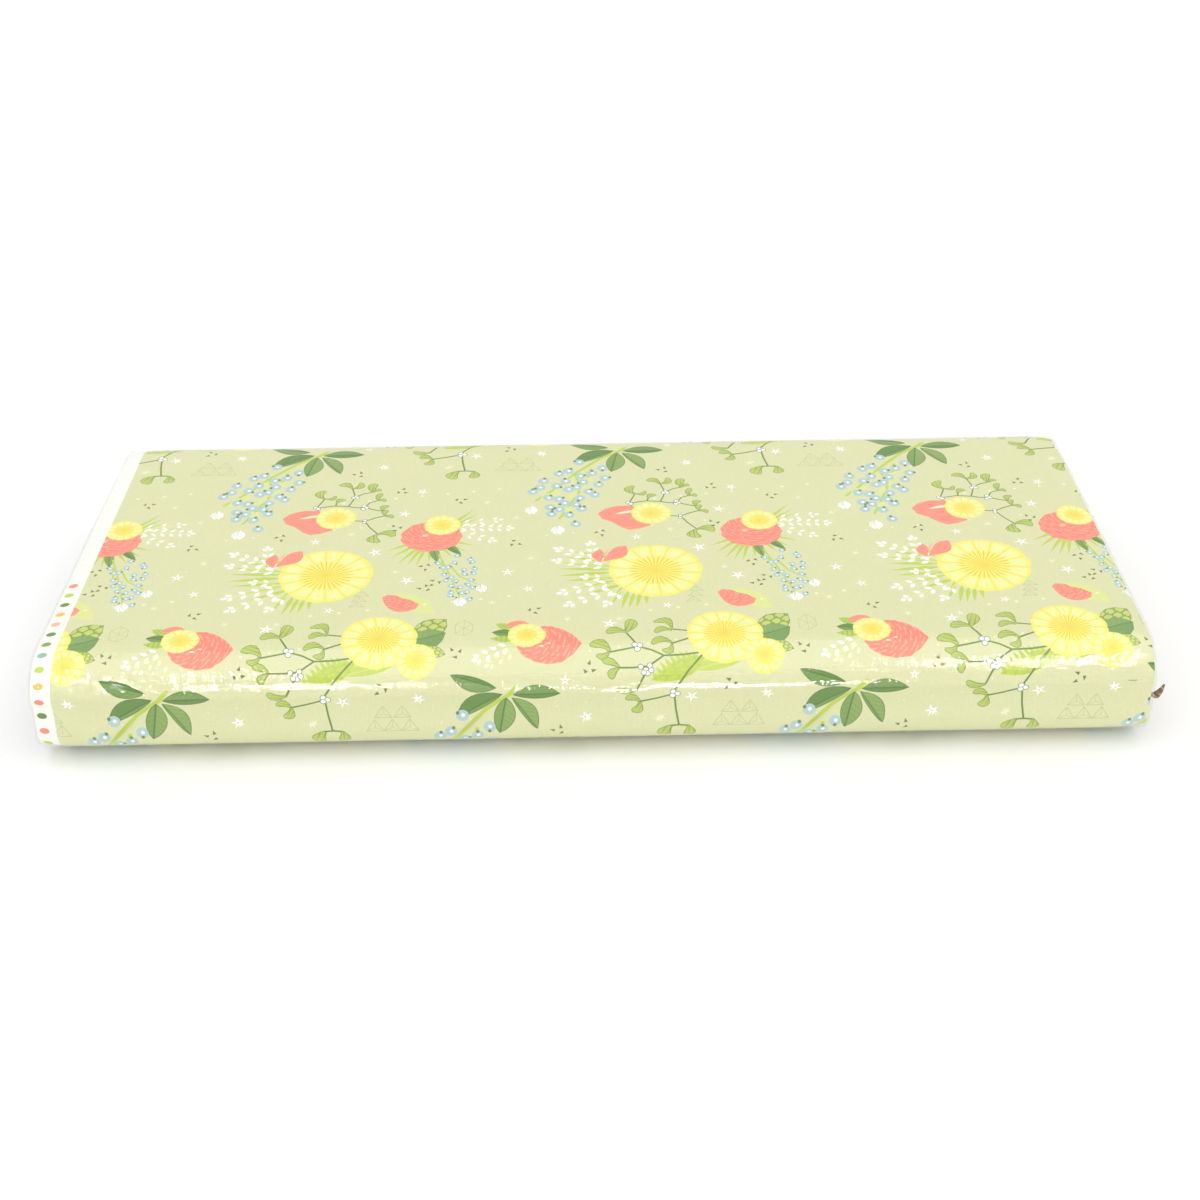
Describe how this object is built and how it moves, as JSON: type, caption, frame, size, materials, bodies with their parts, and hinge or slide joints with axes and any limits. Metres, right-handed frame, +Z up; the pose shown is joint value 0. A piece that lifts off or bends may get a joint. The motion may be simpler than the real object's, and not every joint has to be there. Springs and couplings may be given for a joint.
{
  "type": "fabric bolt",
  "caption": "Bolt of printed quilting cotton, folded lengthwise and wound flat on a corrugated board, in clear shrink film open at both ends; the board slides out.",
  "frame": {"origin": "on the surface the bolt lies on, under the middle of the bolt", "axes": "+X along the bolt towards the end with the cloth's fold and the label, -Y towards the front long edge, +Z up through the bolt's thickness"},
  "size_m": [0.572, 0.2428, 0.0598],
  "materials": {
    "printed_cotton": "woven cotton with an all-over floral print",
    "shrink_film": "clear glossy plastic film",
    "white_faced_board": "matt white-faced board",
    "kraft_liner": "matt brown kraft liner",
    "kraft_fluting": "matt brown kraft fluting",
    "printed_label": "printed paper, satin"
  },
  "bodies": {
    "roll": {"cloth_roll": "printed_cotton", "film_sleeve": "shrink_film"},
    "board": {"board_cover": "white_faced_board", "core_liner_bottom": "kraft_liner", "core_flute_lower": "kraft_fluting", "core_liner_middle": "kraft_liner", "core_flute_upper": "kraft_fluting", "core_liner_top": "kraft_liner", "end_label": "printed_label"}
  },
  "joints": [
    {"name": "board_slide", "type": "slide", "parent": "roll", "child": "board", "axis": [1, 0, 0], "range_m": [0, 0.57]}
  ]
}
